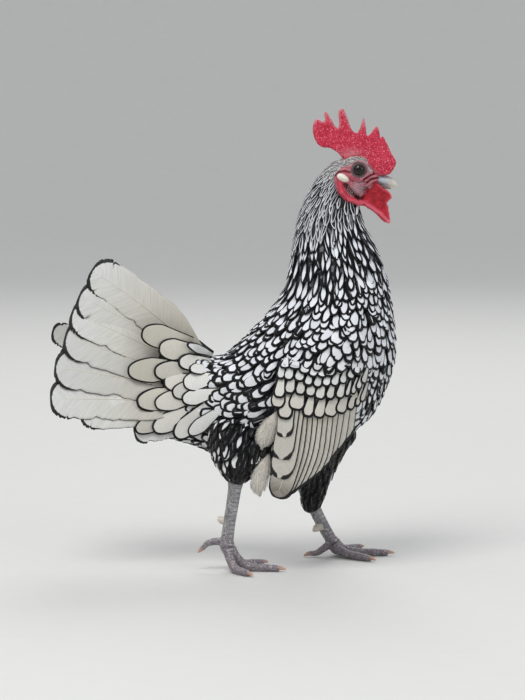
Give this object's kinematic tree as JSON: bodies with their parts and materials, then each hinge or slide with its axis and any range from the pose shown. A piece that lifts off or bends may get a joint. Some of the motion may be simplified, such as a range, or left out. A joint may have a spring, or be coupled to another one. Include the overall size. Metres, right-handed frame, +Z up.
{
  "type": "bantam cock",
  "caption": "Still life-size model of a silver-laced bantam cock in mid stride, with an upright notched red comb, fanned tail and hanging wings.",
  "frame": {"origin": "middle of the bird's bounding box in plan, on the floor it stands on", "axes": "+X towards the beak, +Y to the bird's own left, +Z up"},
  "size_m": [0.2462, 0.1218, 0.3282],
  "materials": {
    "laced_feather": "white contour feathers edged in glossy black",
    "quill_feather": "cream white wing and tail quills with a thin black edge",
    "dark_feather": "black thigh and belly feathers with a faint sheen",
    "face_skin": "bare wrinkled facial skin, red to purple grey",
    "comb_skin": "granular red comb and wattles",
    "earlobe_skin": "smooth off-white lobe",
    "eye": "wet dark brown eye with a black pupil",
    "horn": "satin horn, bluish at the root and cream at the tip",
    "leg_scale": "slate grey overlapping leg scales"
  },
  "bodies": {
    "root": {"head": "face_skin", "beak_upper": "horn", "beak_lower": "horn", "comb": "comb_skin", "neck": "laced_feather", "trunk": "laced_feather", "tail_base": "laced_feather", "wattle_right": "comb_skin", "eye_right": "eye", "earlobe_right": "earlobe_skin", "wing_coverts_right": "laced_feather", "wing_secondaries_right": "quill_feather", "wing_primaries_right": "quill_feather", "thigh_right": "dark_feather", "shank_right": "leg_scale", "spur_right": "horn", "tail_right": "quill_feather", "toe_middle_right": "leg_scale", "claw_middle_right": "horn", "toe_inner_right": "leg_scale", "claw_inner_right": "horn", "toe_outer_right": "leg_scale", "claw_outer_right": "horn", "toe_hind_right": "leg_scale", "claw_hind_right": "horn", "wattle_left": "comb_skin", "eye_left": "eye", "earlobe_left": "earlobe_skin", "wing_coverts_left": "laced_feather", "wing_secondaries_left": "quill_feather", "wing_primaries_left": "quill_feather", "thigh_left": "dark_feather", "shank_left": "leg_scale", "spur_left": "horn", "tail_left": "quill_feather", "toe_middle_left": "leg_scale", "claw_middle_left": "horn", "toe_inner_left": "leg_scale", "claw_inner_left": "horn", "toe_outer_left": "leg_scale", "claw_outer_left": "horn", "toe_hind_left": "leg_scale", "claw_hind_left": "horn"}
  },
  "joints": []
}
